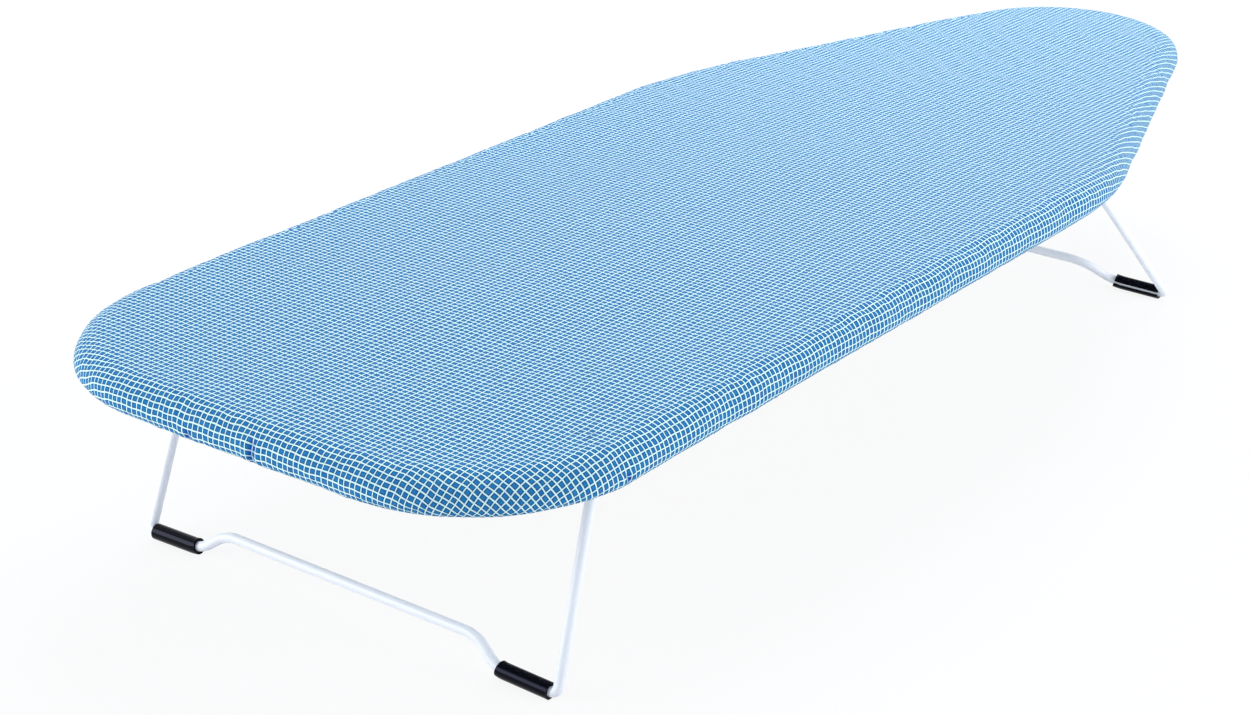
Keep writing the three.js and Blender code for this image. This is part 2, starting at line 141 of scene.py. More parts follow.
# %% [markdown]
# ## The floor
# The photograph was taken on a bright white sweep. The floor is matte white card. Where the camera sees it,
# straight or mirrored in a gloss, it glows a little, so that it is as white as the background and still takes the
# board's soft shadow. The light that falls on the board doesn't change by that. The card's underside is clear, so
# that the board can be looked at from below.

# %% What the camera sees
def looked_at(tree):
    """1 for light on its way to the camera, also by a gloss or a clear thing, and 0 for light that falls on."""
    path = add_node(tree, "LightPath")
    mirrored = add_node(tree, "Math", {0: path.outputs["Is Camera Ray"], 1: path.outputs["Is Glossy Ray"]})
    return add_node(tree, "Math", {0: mirrored, 1: path.outputs["Is Transmission Ray"]}, use_clamp=True)


# Card scatters light evenly, so it shows no gloss and only soft shadows.
GLOW_SHARE = 0.88
white_card, tree, shader = start_finish("white_card")
set_inputs(shader, {"Base Color": linear("#f4f4f4"), "Roughness": 0.9, "Specular IOR Level": 0.1})
glow = add_node(tree, "Emission", {"Color": linear("#ffffff"), "Strength": 1.0})
glowing = add_node(tree, "Math", {0: looked_at(tree), 1: GLOW_SHARE}, operation="MULTIPLY")
card = add_node(tree, "MixShader", {0: glowing, 1: shader, 2: glow})
underside = add_node(tree, "NewGeometry").outputs["Backfacing"]
one_sided = add_node(tree, "MixShader", {0: underside, 1: card, 2: add_node(tree, "BsdfTransparent")})
set_inputs(tree.nodes["Material Output"], {"Surface": one_sided})
print("Card has", len(tree.nodes), "nodes")

# %% Floor
REACH, DROP = 8, 0.1 * MM
floor_mesh = bpy.data.meshes.new("floor")
floor_corners = [(-REACH, -REACH, 0), (REACH, -REACH, 0), (REACH, REACH, 0), (-REACH, REACH, 0)]
floor_mesh.from_pydata(floor_corners, [], [(0, 1, 2, 3)])
floor_mesh.materials.append(white_card)
floor = bpy.data.objects.new("floor", floor_mesh)
bpy.context.scene.collection.objects.link(floor)
floor.location.z = cad_low.z - DROP
floor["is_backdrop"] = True
print("Floor at", round(floor.location.z / MM, 2), "mm")

# %% [markdown]
# ## World and lamps
# The studio is a cool grey room that fills in the light evenly, and the camera sees it as white. Three large soft
# lamps stand over the nose and at two sides. The corner nearest the camera gets the least of them, so that it is a
# little darker than the sides beside it, as in the photograph.

# %% World and lamps
world = bpy.data.worlds.new("studio")
world.use_nodes = True
bpy.context.scene.world = world
tree = world.node_tree
seen = looked_at(tree)
cool_room = add_node(tree, "Mix", {0: seen, 6: linear("#b3bac5"), 7: linear("#ffffff")}, data_type="RGBA")
set_inputs(tree.nodes["Background"], {"Color": cool_room.outputs[2]})


def add_lamp(name, place, target, size, power, colour):
    """A square soft box that faces the target, in metres and watts."""
    lamp_data = bpy.data.lights.new(name, "AREA")
    lamp_data.size = size
    lamp_data.energy = power
    lamp_data.color = linear(colour)[:3]
    lamp = bpy.data.objects.new(name, lamp_data)
    bpy.context.scene.collection.objects.link(lamp)
    lamp.location = place
    lamp.rotation_euler = (Vector(target) - Vector(place)).to_track_quat("-Z", "Y").to_euler()
    print(name, power, "W")


add_lamp("over_the_nose", (0.8, 0.35, 1.15), (0.3, 0, 0.12), 1.1, 16, "#f1f6ff")
add_lamp("left_of_the_tail", (-1.7, 1.3, 0.7), (-0.3, 0, 0.1), 1.2, 26, "#ffffff")
add_lamp("right_of_the_nose", (0.7, -1.9, 0.8), (0.1, -0.1, 0.1), 1.4, 25, "#ffffff")

# %% [markdown]
# ## The board's outline
# The pieces here follow the same few sizes as the solids, in millimetres. The outline of the board is a chain of
# arcs and straight runs: round nose, taper, shoulders, straight sides and a square tail with round corners. It is
# kept as points with the direction that faces outwards at each, so that any line inside it is the outline moved
# inwards.

# %% Outline
HALF_LENGTH, HALF_WIDTH = 395.0, 152.0
NOSE_RADIUS, SHOULDER_RADIUS, TAIL_RADIUS, TAPER_LENGTH = 75.0, 212.0, 85.0, 281.0
EDGE_STEP = 2.5


def facing(angle):
    return np.array([math.cos(angle), math.sin(angle)])


def board_outline(step):
    """Points round the board's edge from the right of the nose, and the outward direction at each."""
    run = TAPER_LENGTH - NOSE_RADIUS
    quarter = math.pi / 2
    taper = math.acos(NOSE_RADIUS / math.hypot(HALF_WIDTH, run)) - math.atan2(run, HALF_WIDTH)
    shoulder_x = HALF_LENGTH - TAPER_LENGTH - SHOULDER_RADIUS * math.tan(taper / 2)
    shoulder_y, tail_x, tail_y = HALF_WIDTH - SHOULDER_RADIUS, TAIL_RADIUS - HALF_LENGTH, HALF_WIDTH - TAIL_RADIUS
    bends = [
        ((HALF_LENGTH - NOSE_RADIUS, 0), NOSE_RADIUS, taper - quarter, quarter - taper),
        ((shoulder_x, shoulder_y), SHOULDER_RADIUS, quarter - taper, quarter),
        ((tail_x, tail_y), TAIL_RADIUS, quarter, 2 * quarter),
        ((tail_x, -tail_y), TAIL_RADIUS, 2 * quarter, 3 * quarter),
        ((shoulder_x, -shoulder_y), SHOULDER_RADIUS, 3 * quarter, 3 * quarter + taper),
    ]
    points, outward = [], []
    for (centre, radius, start, end), following in zip(bends, bends[1:] + bends[:1]):
        for angle in np.linspace(start, end, math.ceil(radius * (end - start) / step) + 1):
            points.append(np.array(centre) + radius * facing(angle))
            outward.append(facing(angle))
        straight = np.array(following[0]) + following[1] * facing(following[2]) - points[-1]
        runs = math.ceil(np.linalg.norm(straight) / step)
        begin = points[-1]
        points += [begin + straight * share / runs for share in range(1, runs)]
        outward += [outward[-1]] * (runs - 1)
    return np.array(points), np.array(outward)


def area_inside(loop):
    """Area inside a closed line of points."""
    return sum(a[0] * b[1] - a[1] * b[0] for a, b in zip(loop, np.roll(loop, -1, 0))) / 2


edge, edge_facing = board_outline(EDGE_STEP)
print(len(edge), "points round", round(area_inside(edge) * MM ** 2, 3), "m2")

# %% [markdown]
# ## The layers at the edge
# A cut across the edge shows how the board is built up: cover, pad, sheet and rim tube, one under the other with a
# little room between. The cover turns round the pad and the tube in two arcs and ends in a curl round its elastic.
# The heights of the layers follow from their thicknesses, from the top down.

# %% Section through the edge
TOP, GAP = 120.0, 0.3
COVER_THICKNESS, PAD_THICKNESS, SHEET_GAUGE, RIM_RADIUS, ELASTIC_RADIUS = 0.9, 4.8, 1.0, 4.75, 1.5
pad_top = TOP - COVER_THICKNESS - GAP
pad_bottom = pad_top - PAD_THICKNESS
sheet_top = pad_bottom - GAP
sheet_bottom = sheet_top - SHEET_GAUGE
rim_height = sheet_bottom - GAP - RIM_RADIUS
edge_round = TOP - rim_height
lower_round = RIM_RADIUS + GAP + COVER_THICKNESS
cover_bottom = rim_height - lower_round
curl_radius = ELASTIC_RADIUS + GAP + COVER_THICKNESS
curl_height = cover_bottom + curl_radius
curl_inset = lower_round + math.sqrt((RIM_RADIUS + GAP + curl_radius) ** 2 - (rim_height - curl_height) ** 2)


def section_arc(inset, height, radius, start, end, steps):
    """Points of an arc across the edge as inset, height and facing angle. 0 faces out of the board and 90 up."""
    angles = np.radians(np.linspace(start, end, steps + 1))
    return np.column_stack([inset - radius * np.cos(angles), height + radius * np.sin(angles), angles])


def section_level(start, end, height, angle, steps):
    """Points of a level run across the edge."""
    insets = np.linspace(start, end, steps + 1)
    return np.column_stack([insets, np.full(steps + 1, height), np.full(steps + 1, angle)])


print("Side of the board:", round(edge_round + lower_round, 1), "mm high, hem", round(curl_inset, 1), "mm in")

# %% [markdown]
# ## Building meshes
# A few helpers build the pieces. One joins rows of points with faces, and one fills the flat inside of the outline
# with even triangles, round any holes. They could be drawn by hand, but from sizes each piece stays exact.

# %% Rows and fillings
HOLE_CLEARANCE, EDGE_CLEARANCE, SAME_POINT = 1.25, 0.5, 1e-4


def strip_faces(rows, columns, along=False):
    """Quads between closed rows of points. Along joins the last row to the first."""
    faces = []
    for row in range(rows if along else rows - 1):
        here, below = row * columns, (row + 1) % rows * columns
        for column in range(columns):
            other = (column + 1) % columns
            faces.append((here + column, below + column, below + other, here + other))
    return faces


def fill_outline(inset, spacing, holes=()):
    """Points and triangles that fill the board's outline. The first points are those of the outline itself."""
    rim = edge - edge_facing * inset
    xs, ys = np.arange(-HALF_LENGTH, HALF_LENGTH, spacing), np.arange(-HALF_WIDTH, HALF_WIDTH, spacing)
    grid = np.array(np.meshgrid(xs, ys)).reshape(2, -1).T
    outside = ((grid[:, None] - rim[None]) * edge_facing[None]).sum(2).max(1)
    keep = outside < -EDGE_CLEARANCE * spacing
    for hole in holes:
        middle = hole.mean(0)
        keep &= np.linalg.norm(grid - middle, axis=1) >= np.linalg.norm(hole[0] - middle) * HOLE_CLEARANCE
    loops = [rim, *holes]
    starts = np.cumsum([0, *(len(loop) for loop in loops)])
    borders = [(a + i, a + (i + 1) % (b - a)) for a, b in zip(starts, starts[1:]) for i in range(b - a)]
    points = [Vector(p) for p in np.vstack([*loops, grid[keep]])]
    filled = delaunay_2d_cdt(points, borders, [], 1, SAME_POINT)
    return np.array([tuple(p) for p in filled[0]]), [tuple(face) for face in filled[2]]


print("Outline filled with", len(fill_outline(0, HALF_WIDTH)[1]), "triangles at the coarsest")

# %% [markdown]
# Wires, tubes and sleeves are sections carried along a line. The last helper makes an object of any of these
# meshes, gives it its finish, puts it on its body and hides the solid that it stands for.

# %% Sweeps and pieces
def circle(radius, sides):
    return radius * np.array([facing(angle) for angle in np.arange(sides) * 2 * math.pi / sides])


def swept(stations, section, closed=False):
    """Carries a section along stations and caps an open end. A station is a centre and two cross directions,
    of which the second is a quarter turn on from the first, seen against the way the line runs."""
    points = np.array([c + np.outer(section[:, 0], a) + np.outer(section[:, 1], b) for c, a, b in stations])
    count = len(section)
    faces = strip_faces(len(stations), count, along=closed)
    if not closed:
        last = (len(stations) - 1) * count
        faces += [tuple(range(count)), tuple(range(last + count - 1, last - 1, -1))]
    return points.reshape(-1, 3), [face[::-1] for face in faces]


def edge_stations(inset, height):
    """Stations of a bar that runs all the way round the outline."""
    up = np.array([0.0, 0.0, 1.0])
    centres = np.column_stack([edge - edge_facing * inset, np.full(len(edge), height)])
    return [(c, up, np.array([*f, 0.0])) for c, f in zip(centres, edge_facing)]


def dress(name, mesh, finish, body, node, slot):
    """An object of a mesh with its finish, riding on a body in place of a solid."""
    mesh.materials.append(finish)
    mesh.polygons.foreach_set("use_smooth", [True] * len(mesh.polygons))
    mesh.update()
    piece = bpy.data.objects.new(name, mesh)
    bpy.context.scene.collection.objects.link(piece)
    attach(piece, body)
    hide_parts(node)
    print(name, len(mesh.polygons), "faces")
    return piece


def make_piece(name, points, faces, *dressing):
    """A dressed object from points in millimetres."""
    mesh = bpy.data.meshes.new(name)
    mesh.from_pydata((np.asarray(points, float) * MM).tolist(), [], faces)
    return dress(name, mesh, *dressing)


def add_uv_map(piece, name, places):
    """A UV map from one place for each point of the mesh."""
    corners = np.array([loop.vertex_index for loop in piece.data.loops])
    piece.data.uv_layers.new(name=name).data.foreach_set("uv", places[corners].astype(np.float32).ravel())


print("A bar round the edge has", len(edge_stations(0, 0)), "stations")

# %% [markdown]
# ## The cover's cloth
# The cover is yarn-dyed cotton in plain weave: blue cells between white threads, the same on both faces. The white
# lines across the board are 3 mm apart, and those along it alternate, 3.0 and 3.4 mm apart. Noise lets them wander
# and ripple a little, as hand-pulled cloth does, and makes them uneven like slubby yarn.

# %% Lines of the check
LINE_PITCH, PAIR_PITCH, PAIR_GAP, LINE_WIDTH, CROSS_BROADER = (v * MM for v in (3.0, 6.4, 3.0, 0.58, 0.06))
WANDER_LENGTH, WANDER, RIPPLE_LENGTH, RIPPLE, SLUB_LENGTH, SLUB = (v * MM for v in (28, 1.6, 8, 1.1, 4, 0.2))
# The slub noise is about a half on average, which moves the line's border out by half its reach.
line_inside, line_outside = (SLUB / 2 + share * LINE_WIDTH for share in (0.4, 0.6))
cotton_check, tree, shader = start_finish("yarn_dyed_cotton_check")
cloth_place = add_node(tree, "UVMap", uv_map="cloth")
wander = add_node(tree, "TexNoise", {"Vector": cloth_place, "Scale": 1 / WANDER_LENGTH, "Detail": 2.5,
                                     "Roughness": 0.65})
drift = add_node(tree, "VectorMath", {0: wander.outputs["Color"], 1: (WANDER, WANDER, 0), 2: cloth_place},
                 operation="MULTIPLY_ADD")
ripple = add_node(tree, "TexNoise", {"Vector": cloth_place, "Scale": 1 / RIPPLE_LENGTH, "Detail": 0.0})
flat = add_node(tree, "VectorMath", {0: ripple.outputs["Color"], 1: (RIPPLE, RIPPLE, 0), 2: drift},
                operation="MULTIPLY_ADD")
flat_xy = add_node(tree, "SeparateXYZ", {0: flat})
across = add_node(tree, "Math", {0: flat_xy.outputs[0], 1: LINE_PITCH / 2}, operation="PINGPONG")
broad = add_node(tree, "Math", {0: across, 1: CROSS_BROADER}, operation="SUBTRACT")
shifted = add_node(tree, "Math", {0: flat_xy.outputs[1], 1: PAIR_GAP}, operation="SUBTRACT")
first = add_node(tree, "Math", {0: flat_xy.outputs[1], 1: PAIR_PITCH / 2}, operation="PINGPONG")
second = add_node(tree, "Math", {0: shifted, 1: PAIR_PITCH / 2}, operation="PINGPONG")
pair = add_node(tree, "Math", {0: first, 1: second}, operation="MINIMUM")
nearest = add_node(tree, "Math", {0: broad, 1: pair}, operation="MINIMUM")
slub = add_node(tree, "TexNoise", {"Vector": cloth_place, "Scale": 1 / SLUB_LENGTH, "Detail": 2.0})
uneven = add_node(tree, "Math", {0: slub, 1: SLUB, 2: nearest}, operation="MULTIPLY_ADD")
line = add_node(tree, "MapRange", {0: uneven, 1: line_inside, 2: line_outside, 3: 1.0, 4: 0.0},
                interpolation_type="SMOOTHSTEP")
print("Check of", round(LINE_PITCH / MM, 1), "by", round(PAIR_PITCH / 2 / MM, 1), "mm")

# %% [markdown]
# The blue takes up dye unevenly. Beside the white lines, where the blue threads dip under them, a painted shade
# darkens it. In the bottom of a tuck a deeper painted shade darkens it further and half hides its lines. A row of
# white stitches closes the hem, on a second UV map that holds the length along the edge and the cloth used from it.

# %% Colour of the cotton
DYE_LENGTH, CELL_MIDDLE, HEM_STITCH, STITCH_LENGTH, STITCH_WIDTH = (v * MM for v in (3.2, 1.05, 35.5, 3.0, 0.7))
DASH_SHARE, LINES_LOST = 0.36, 0.4
dye = add_node(tree, "TexNoise", {"Vector": cloth_place, "Scale": 1 / DYE_LENGTH, "Detail": 1.0})
dyed = add_node(tree, "Mix", {0: dye, 6: linear("#1666aa"), 7: linear("#3190ca")}, data_type="RGBA")
# Painted shade: the cells darken towards the white lines, in the grooves where the blue threads dip under them.
beside_line_shade = add_node(tree, "MapRange", {0: uneven, 1: line_outside, 2: CELL_MIDDLE}, interpolation_type="SMOOTHSTEP")
cells = add_node(tree, "Mix", {0: beside_line_shade, 6: linear("#0a3e74"), 7: dyed.outputs[2]}, data_type="RGBA")
# Painted shade in the bottom of a tuck: a darker blue, with the white lines half hidden.
tuck_shade = add_node(tree, "Attribute", attribute_name="tuck_shade").outputs["Fac"]
tuck_shaded = add_node(tree, "Mix", {0: tuck_shade, 6: cells.outputs[2], 7: linear("#0d4a9c")}, data_type="RGBA")
lines_shown = add_node(tree, "Math", {0: tuck_shade, 1: -LINES_LOST, 2: line}, operation="MULTIPLY_ADD", use_clamp=True)
check = add_node(tree, "Mix", {0: lines_shown, 6: tuck_shaded.outputs[2], 7: linear("#d9fcfd")}, data_type="RGBA")
hem_xy = add_node(tree, "SeparateXYZ", {0: add_node(tree, "UVMap", uv_map="hem")})
dash = add_node(tree, "Math", {0: hem_xy.outputs[0], 1: STITCH_LENGTH / 2}, operation="PINGPONG")
on_dash = add_node(tree, "Math", {0: dash, 1: DASH_SHARE * STITCH_LENGTH}, operation="LESS_THAN")
on_row = add_node(tree, "Math", {0: hem_xy.outputs[1], 1: HEM_STITCH, 2: STITCH_WIDTH / 2}, operation="COMPARE")
stitch = add_node(tree, "Math", {0: on_dash, 1: on_row}, operation="MULTIPLY")
sewn = add_node(tree, "Mix", {0: stitch, 6: check.outputs[2], 7: linear("#f4f6f8")}, data_type="RGBA")
print("Hem stitches every", round(STITCH_LENGTH / MM, 1), "mm")

# %% [markdown]
# Woven cotton is matte, since its round threads scatter light, and loose fibres give it a faint pale sheen at a low
# angle. Its threads are about 0.3 mm apart, too fine to show, so the weave is drawn at 0.75 mm. The white lines and
# the stitches stand a little proud.

# %% Surface of the cotton
THREAD, LINE_RISE, STITCH_RISE = (v * MM for v in (0.75, 0.12, 0.5))
weft = add_node(tree, "Math", {0: flat_xy.outputs[0], 1: THREAD / 2}, operation="PINGPONG")
warp = add_node(tree, "Math", {0: flat_xy.outputs[1], 1: THREAD / 2}, operation="PINGPONG")
weave = add_node(tree, "Math", {0: weft, 1: warp}, operation="MAXIMUM")
raised = add_node(tree, "Math", {0: line, 1: LINE_RISE, 2: weave}, operation="MULTIPLY_ADD")
thread_raised = add_node(tree, "Math", {0: stitch, 1: STITCH_RISE, 2: raised}, operation="MULTIPLY_ADD")
# Yarn gives the eye a dull, even colour that brightens only a little towards the light.
set_inputs(shader, {
    "Base Color": sewn.outputs[2],
    "Roughness": add_node(tree, "MapRange", {0: slub, 3: 0.82, 4: 0.98}),
    "Normal": add_node(tree, "Bump", {"Height": thread_raised, "Strength": 0.35, "Distance": 1.0}),
    "Specular IOR Level": 0.12, "Sheen Weight": 0.06, "Sheen Roughness": 0.4, "Sheen Tint": linear("#d6deff"),
})
print("Cotton has", len(tree.nodes), "nodes")

# %% [markdown]
# ## The cover
# The cover is one sheet of cloth, drawn over the pad and down round the rim, with a hem that curls round its
# elastic. It could be draped from a flat sheet, but a fitted cover is held nearly everywhere. So it is first built
# as it lies: rings round the outline follow the section of the edge, and a net of triangles fills the flat top.
# A short cloth simulation then lets the skirt settle. Each point also keeps where it is on the flat cloth: straight
# out from the edge by the length of cloth used. Near a tuck the rings have more points.

# %% Lines round the cover
TUCKS = [
    {"at": (-HALF_LENGTH, -11.0), "lean": -0.12, "low": 100.5, "high": 115.0, "width": 1.9, "depth": 1.3},
    {"at": (-HALF_LENGTH, 28.0), "lean": -0.3, "low": 101.0, "high": 109.0, "width": 1.9, "depth": 0.5},
    {"at": (-314.5, -HALF_WIDTH), "lean": 0.6, "low": 103.5, "high": 110.5, "width": 1.5, "depth": 0.7},
]
TUCK_REACH, TUCK_PARTS = 9.0, 5


def refined(points, outward, places, reach, parts):
    """More points along the straight runs near the given places."""
    new_points, new_outward = [], []
    for p, q, n in zip(points, np.roll(points, -1, 0), outward):
        close = any(np.linalg.norm((p + q) / 2 - np.array(place)) < reach for place in places)
        count = parts if close else 1
        new_points += [p + (q - p) * share for share in np.arange(count) / count]
        new_outward += [n] * count
    return np.array(new_points), np.array(new_outward)


plain_edge = edge, edge_facing
edge, edge_facing = refined(edge, edge_facing, [tuck["at"] for tuck in TUCKS], TUCK_REACH, TUCK_PARTS)
gaps = np.linalg.norm(np.roll(edge, -1, 0) - edge, axis=1)
edge_length = np.concatenate([[0], np.cumsum(gaps)[:-1]])
print(len(edge), "points in each ring of", round(gaps.sum() * MM, 2), "m")

# %% Section of the cover
FLAT_BAND, CURL_END = 28.0, -370
FLAT_STEPS, OVER_STEPS, UNDER_STEPS, LEVEL_STEPS, CURL_STEPS = 7, 14, 8, 5, 16
section = np.vstack([
    section_level(FLAT_BAND, edge_round, TOP, math.pi / 2, FLAT_STEPS)[:-1],
    section_arc(edge_round, rim_height, edge_round, 90, 0, OVER_STEPS),
    section_arc(lower_round, rim_height, lower_round, 0, -90, UNDER_STEPS)[1:],
    section_level(lower_round, curl_inset, cover_bottom, -math.pi / 2, LEVEL_STEPS)[1:-1],
    section_arc(curl_inset, curl_height, curl_radius, -90, CURL_END, CURL_STEPS),
])
curl_first = len(section) - (CURL_STEPS + 1)
curl_inner = len(section) - (CURL_STEPS // 2 + 1)
section_steps = np.linalg.norm(np.diff(section[:, :2], axis=0), axis=1)
cloth_used = np.concatenate([[0], np.cumsum(section_steps)]) - (FLAT_BAND - edge_round)

# %% [markdown]
# The lay of the cloth gives the cover its life. The pad leaves the top a little uneven, the skirt swells softly
# between the places where the elastic pulls, and the hem gathers in small waves where the outline is round. All of
# it is a sum of sines with fixed numbers, so that the cover is the same each time.

# %% Waves in the cloth
PAD_WAVE, ROUND_RADIUS, AVERAGED = 0.16, 70, 25
LEFT_CORNER, CORNER_REACH = (-368, 128), 42


def waves(length, counts, phases):
    """A sum of waves that closes round the edge. Length goes from 0 to 1."""
    return sum(np.sin(2 * math.pi * count * length + phase) for count, phase in zip(counts, phases)) / len(counts)


def top_lay(x, y):
    """Height of the uneven pad under the cloth, in millimetres."""
    return PAD_WAVE * (np.sin(x / 23 + 0.7 * np.sin(y / 31)) + np.sin(y / 19 + 0.9 * np.sin(x / 37) + 1.3)
                       + np.sin((x + y) / 29 + 2.1))


around = edge_length / gaps.sum()
turn = np.linalg.norm(np.roll(edge_facing, -1, 0) - edge_facing, axis=1) / gaps
mean_turn = np.convolve(np.tile(turn, 3), np.ones(AVERAGED) / AVERAGED, "same")[len(turn):2 * len(turn)]
roundness = np.clip(mean_turn * ROUND_RADIUS, 0, 1)
swell = waves(around, (23, 37, 51), (0.4, 2.2, 4.0))
gather = waves(around, (141, 173, 208), (1.0, 3.1, 5.2)) ** 2
left_corner = np.exp(-((edge - LEFT_CORNER) ** 2).sum(1) / CORNER_REACH ** 2)
print("Round for", round(100 * roundness.mean()), "percent of the edge")

# %% The lay of the cloth
SWELL, CORNER_SWELL, SWELL_SPREAD = 0.3, 0.5, 0.2
GATHER, ROUND_GATHER, CURL_SHARE = 0.25, 1.25, 0.3
GATHER_FROM, GATHER_RAMP, TOP_RAMP, NEARLY_UP = 5.5, 5, 12, 0.99
lift = np.zeros((len(section), len(edge)))
for row, (inset, height, angle) in enumerate(section):
    skirt = np.clip((edge_round - inset) / edge_round, 0, 1) if math.sin(angle) >= 0 else 1.0
    under = max(0.0, -math.sin(angle)) * (1.0 if row < curl_inner else CURL_SHARE)
    lift[row] = skirt * (SWELL * swell + CORNER_SWELL * left_corner) * max(0.0, math.cos(angle) + SWELL_SPREAD)
    ramp = np.clip((inset - GATHER_FROM) / GATHER_RAMP, 0, 1)
    lift[row] += under * (GATHER + ROUND_GATHER * roundness) * gather * ramp
    if math.sin(angle) > NEARLY_UP:
        inner = edge - edge_facing * inset
        lift[row] += top_lay(inner[:, 0], inner[:, 1]) * np.clip((inset - edge_round) / TOP_RAMP, 0, 1)
print("Cloth stands up to", round(lift.max(), 2), "mm proud")

# %% [markdown]
# Three small tucks show in the skirt, where spare cloth was nipped in: a valley with a soft ridge on each side,
# which fades at both ends. Their places come from the photograph. How deep a point lies in a tuck is kept for the
# painted shade in the cloth's colour.

# %% Tucks in the skirt
TUCK_TAPER, TUCK_END, NEAR_TUCK = 5, 0.9, 30
RIDGE_AT, RIDGE_WIDTH, RIDGE_RISE, VALLEY_DROP = 2.2, 1.3, 0.6, 0.45
DARK_GAIN, DARK_FROM = 1.7, 0.2
tuck_shade_depth = np.zeros_like(lift)
along_edge = np.array([-edge_facing[:, 1], edge_facing[:, 0]]).T
for tuck in TUCKS:
    low, high, width, from_tuck = tuck["low"], tuck["high"], tuck["width"], edge - np.array(tuck["at"])
    near = (np.linalg.norm(from_tuck, axis=1) < NEAR_TUCK).astype(float)
    for row, height in enumerate(section[:curl_first, 1]):
        share = np.clip((high - height) / (high - low), 0, 1)
        strength = near * np.clip(TUCK_TAPER * min(share, TUCK_END - share), 0, 1)
        offset = (from_tuck * along_edge).sum(1) + tuck["lean"] * (height - (low + high) / 2)
        valley = np.exp(-(offset / width) ** 2)
        ridges = np.exp(-((np.abs(offset) - RIDGE_AT * width) / (RIDGE_WIDTH * width)) ** 2)
        lift[row] += strength * tuck["depth"] * (RIDGE_RISE * ridges - VALLEY_DROP * valley)
        # Painted shade, deepest in the valley of the tuck, kept for the cloth's colour.
        tuck_shade_depth[row] = np.maximum(tuck_shade_depth[row], strength * np.clip(DARK_GAIN * valley - DARK_FROM, 0, 1))
print("Deepest tuck:", round(lift.min(), 2), "mm")

# %% [markdown]
# The rings and the net over the top become one mesh. Its two UV maps and the painted shade of the tucks go with
# it, one value for each point.

# %% Mesh of the cover
TOP_SPACING, OFF_THE_HEM = 7.0, -100.0
points, on_cloth, on_hem = [], [], []
for row, (inset, height, angle) in enumerate(section):
    reach = -inset + lift[row] * math.cos(angle)
    points.append(np.column_stack([edge + edge_facing * reach[:, None], height + lift[row] * math.sin(angle)]))
    on_cloth.append(edge + edge_facing * (cloth_used[row] - edge_round))
    on_hem.append(np.column_stack([edge_length, np.full(len(edge), cloth_used[row])]))
top_points, top_faces = fill_outline(FLAT_BAND, TOP_SPACING)
inner_top = top_points[len(edge):]
first_inner = len(edge) * len(section)
top_index = [*range(len(edge)), *range(first_inner, first_inner + len(inner_top))]
inner_points = np.column_stack([inner_top, TOP + top_lay(inner_top[:, 0], inner_top[:, 1])])
cover_faces = strip_faces(len(section), len(edge)) + [tuple(top_index[v] for v in face) for face in top_faces]
cover = make_piece("fitted_cover", np.vstack([*points, inner_points]), cover_faces, cotton_check, "board", "cover",
                   "cover_cotton")
add_uv_map(cover, "cloth", np.vstack([*on_cloth, inner_top]) * MM)
add_uv_map(cover, "hem", np.vstack([*on_hem, np.full((len(inner_top), 2), OFF_THE_HEM)]) * MM)
tuck_shade_values = np.concatenate([tuck_shade_depth.ravel(), np.zeros(len(inner_top))]).astype(np.float32)
cover.data.attributes.new("tuck_shade", "FLOAT", "POINT").data.foreach_set("value", tuck_shade_values)

# %% [markdown]
# Between the pad's edge and the hem nothing holds the skirt but the cloth itself. A cutter leaves a little ease
# there, less than one part in a hundred, and the cloth takes it up in soft waves. The simulation holds the top and
# the hem, lets the skirt grow by that ease and presses it gently out. Its movement is capped, so that the cloth
# lies on the pad and the rim and never inside them.

# %% Simulating the skirt
SETTLE_FRAMES, EASE = 14, 0.005
GRIP_AT, GRIP = (-4, 2, 26, 31), (1, 0, 0, 1)  # by the cloth used from the flat top, in millimetres


def read_points(mesh, what):
    """The places or normals of all points of a mesh."""
    values = np.empty(3 * len(mesh.vertices))
    mesh.vertices.foreach_get(what, values)
    return values.reshape(-1, 3)


def settled_places(piece):
    """Where the points of the cover come to rest in a short cloth simulation."""
    held = piece.vertex_groups.new(name="held")
    for row, grip in enumerate(np.interp(cloth_used, GRIP_AT, GRIP)):
        held.add(range(row * len(edge), (row + 1) * len(edge)), float(grip), "REPLACE")
    held.add(range(first_inner, len(piece.data.vertices)), 1.0, "REPLACE")
    settle = piece.modifiers.new("settle", "CLOTH")
    settle.settings.vertex_group_mass = held.name
    settle.settings.quality = 6
    settle.settings.mass = 0.15
    settle.settings.bending_stiffness = 0.5
    settle.settings.shrink_min = -EASE
    settle.settings.use_pressure = True
    settle.settings.uniform_pressure_force = 3
    settle.settings.effector_weights.gravity = 0
    settle.collision_settings.use_collision = False
    settle.point_cache.frame_end = SETTLE_FRAMES
    for step in range(1, SETTLE_FRAMES + 1):
        bpy.context.scene.frame_set(step)
    settled_mesh = piece.evaluated_get(bpy.context.evaluated_depsgraph_get()).data
    places = read_points(settled_mesh, "co")
    piece.modifiers.remove(settle)
    piece.vertex_groups.remove(held)
    bpy.context.scene.frame_set(1)
    return places


print("The hem is held from", GRIP_AT[-1], "mm on")

# %% Letting the skirt settle
MOST_OUT, MOST_IN, TINY = 0.8 * MM, 0.2 * MM, 1e-9
laid, normals = read_points(cover.data, "co"), read_points(cover.data, "normal")
moved = settled_places(cover) - laid
out = (moved * normals).sum(1)
moved += normals * (np.clip(out, -MOST_IN, MOST_OUT) - out)[:, None]
moved *= np.minimum(1, MOST_OUT / np.maximum(np.linalg.norm(moved, axis=1), TINY))[:, None]
cover.data.vertices.foreach_set("co", (laid + moved).ravel())
cover.data.update()
print("The skirt moved", round(np.abs(out[:first_inner]).mean() / MM, 2), "mm on average before its cap")

# %% [markdown]
# The cloth gets its thickness inwards. Its cut is the outline grown by the cloth that goes over the edge, under the
# rim and into the curl, which is what a tailor would mark on the flat sheet.

# %% Thickness and cut of the cover
CLOTH_THICKNESS = 0.6 * MM


